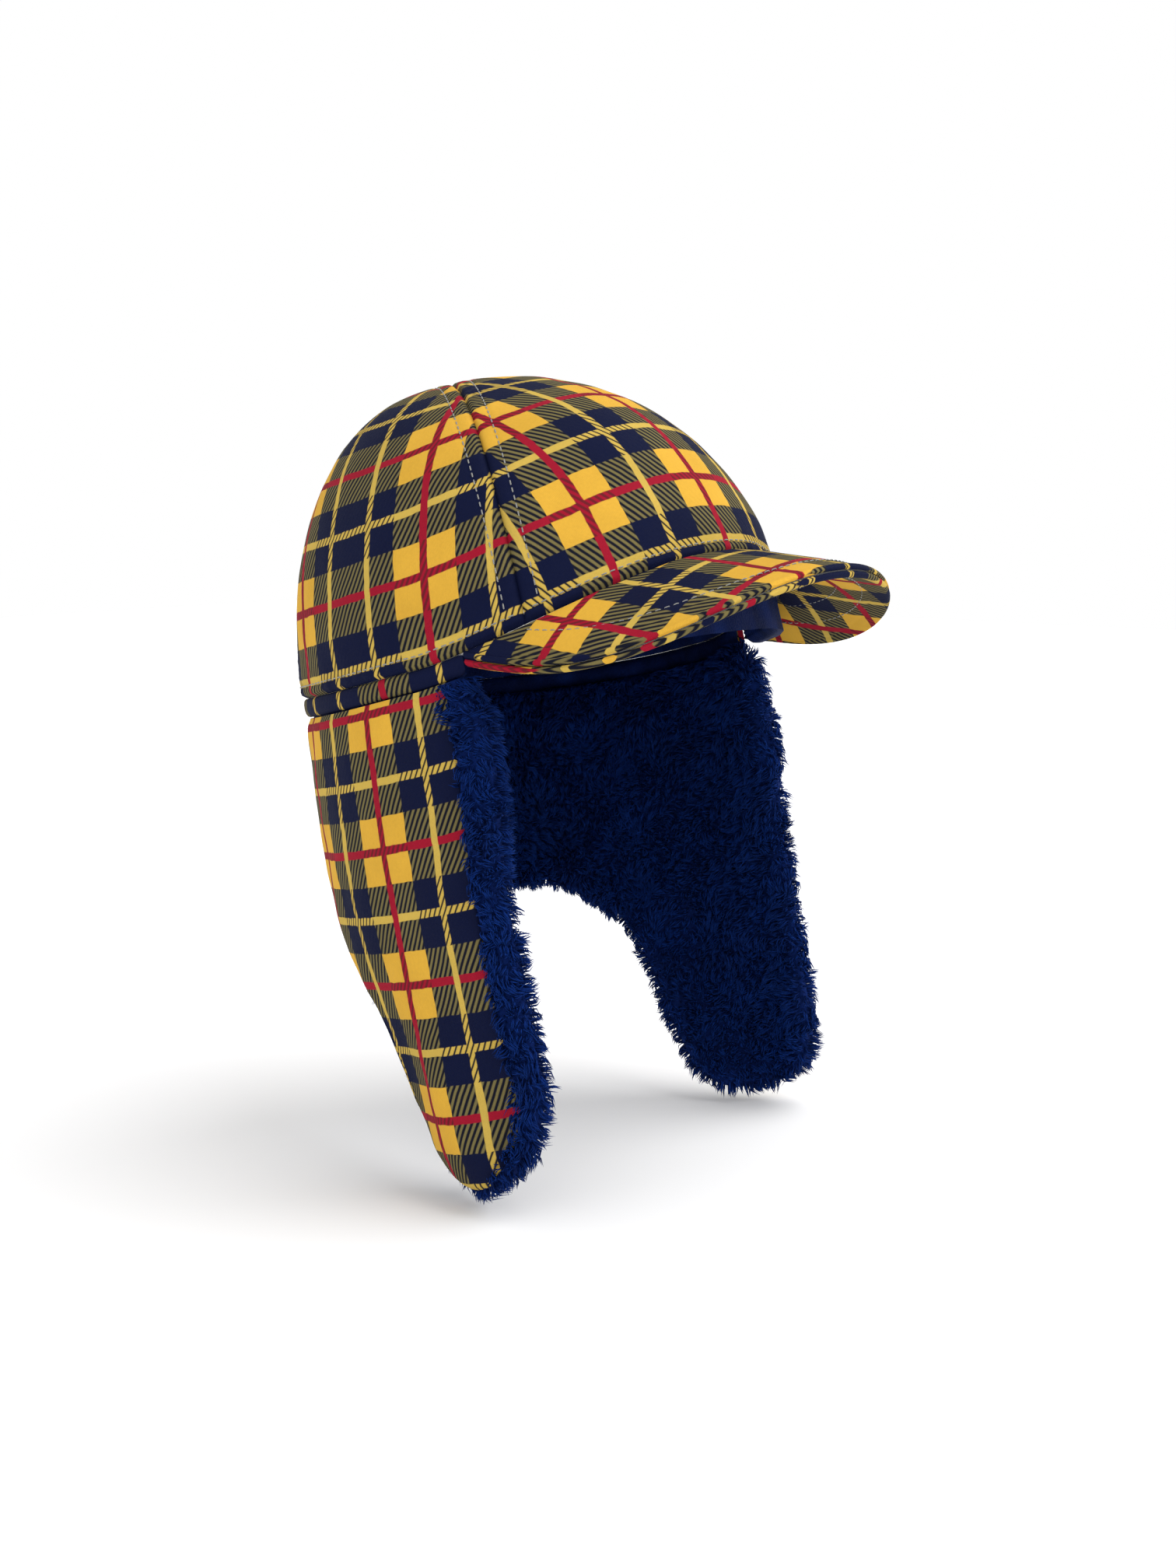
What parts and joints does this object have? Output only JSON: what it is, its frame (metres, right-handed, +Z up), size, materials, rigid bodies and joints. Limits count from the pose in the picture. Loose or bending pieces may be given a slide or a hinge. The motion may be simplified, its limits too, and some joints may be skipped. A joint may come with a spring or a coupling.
{
  "type": "trapper hat",
  "caption": "Sewn check-cloth trapper hat with an arched brim and a plush-lined ear and neck flap that turns up round the crown.",
  "frame": {"origin": "centre of the head opening", "axes": "+Z up as worn, -Y forwards out of the brim, -X to the wearer's right; the opening leans back by 14.5 degrees, its front higher than its nape"},
  "size_m": [0.2082, 0.257, 0.3202],
  "materials": {
    "tartan_cloth": "matt printed twill in a yellow, navy and red check",
    "blue_plush": "deep royal blue plush pile",
    "blue_lining": "short blue pile, ribbed on the forehead band",
    "wadding": "soft white wadding",
    "brim_board": "flexible moulded sheet",
    "thread": "light grey sewing thread"
  },
  "bodies": {
    "crown": {"front_panel": "tartan_cloth", "front_wadding": "wadding", "front_lining": "blue_lining", "right_panel": "tartan_cloth", "right_wadding": "wadding", "right_lining": "blue_lining", "back_panel": "tartan_cloth", "back_wadding": "wadding", "back_lining": "blue_lining", "left_panel": "tartan_cloth", "left_wadding": "wadding", "left_lining": "blue_lining", "crown_topstitching": "thread", "hem_stitching": "thread", "rim_band": "tartan_cloth", "rim_facing": "blue_lining", "forehead_band": "blue_lining", "brim_top_cover": "tartan_cloth", "brim_board": "brim_board", "brim_under_cover": "tartan_cloth", "brim_top_stitching": "thread", "brim_under_stitching": "thread"},
    "right_ear": {"right_ear_cloth": "tartan_cloth", "right_ear_plush": "blue_plush"},
    "right_ear_tip": {"right_ear_tip_cloth": "tartan_cloth", "right_ear_tip_plush": "blue_plush"},
    "right_corner": {"right_corner_cloth": "tartan_cloth", "right_corner_plush": "blue_plush"},
    "right_neck": {"right_neck_cloth": "tartan_cloth", "right_neck_plush": "blue_plush"},
    "left_ear": {"left_ear_cloth": "tartan_cloth", "left_ear_plush": "blue_plush"},
    "left_ear_tip": {"left_ear_tip_cloth": "tartan_cloth", "left_ear_tip_plush": "blue_plush"},
    "left_corner": {"left_corner_cloth": "tartan_cloth", "left_corner_plush": "blue_plush"},
    "left_neck": {"left_neck_cloth": "tartan_cloth", "left_neck_plush": "blue_plush"}
  },
  "joints": [
    {"name": "right_ear_turn", "type": "hinge", "parent": "crown", "child": "right_ear", "pos_m": [-0.09995, 0.00225, -0.00471], "axis": [0.029, 0.9677, -0.2503], "range_deg": [0, 172]},
    {"name": "right_ear_tip_bend", "type": "hinge", "parent": "right_ear", "child": "right_ear_tip", "pos_m": [-0.10445, -0.02267, -0.10156], "axis": [0.029, 0.9677, -0.2503], "range_deg": [0, 74.1]},
    {"name": "right_corner_turn", "type": "hinge", "parent": "crown", "child": "right_corner", "pos_m": [-0.0774, 0.06595, -0.01811], "axis": [0.6062, 0.77, -0.1991], "range_deg": [0, 172]},
    {"name": "right_neck_turn", "type": "hinge", "parent": "crown", "child": "right_neck", "pos_m": [-0.02947, 0.10059, -0.02323], "axis": [0.9494, 0.304, -0.0786], "range_deg": [0, 172]},
    {"name": "left_ear_turn", "type": "hinge", "parent": "crown", "child": "left_ear", "pos_m": [0.09995, 0.00225, -0.00471], "axis": [0.029, -0.9677, 0.2503], "range_deg": [0, 172]},
    {"name": "left_ear_tip_bend", "type": "hinge", "parent": "left_ear", "child": "left_ear_tip", "pos_m": [0.10445, -0.02267, -0.10156], "axis": [0.029, -0.9677, 0.2503], "range_deg": [0, 74.1]},
    {"name": "left_corner_turn", "type": "hinge", "parent": "crown", "child": "left_corner", "pos_m": [0.0774, 0.06595, -0.01811], "axis": [0.6062, -0.77, 0.1991], "range_deg": [0, 172]},
    {"name": "left_neck_turn", "type": "hinge", "parent": "crown", "child": "left_neck", "pos_m": [0.02947, 0.10059, -0.02323], "axis": [0.9494, -0.304, 0.0786], "range_deg": [0, 172]}
  ],
  "couplings": [
    {"joint": "right_ear_tip_bend", "follows": "right_ear_turn", "ratio": 0.43023},
    {"joint": "right_corner_turn", "follows": "right_ear_turn", "ratio": 1},
    {"joint": "right_neck_turn", "follows": "right_ear_turn", "ratio": 1},
    {"joint": "left_ear_turn", "follows": "right_ear_turn", "ratio": 1},
    {"joint": "left_ear_tip_bend", "follows": "right_ear_turn", "ratio": 0.43023},
    {"joint": "left_corner_turn", "follows": "right_ear_turn", "ratio": 1},
    {"joint": "left_neck_turn", "follows": "right_ear_turn", "ratio": 1}
  ]
}
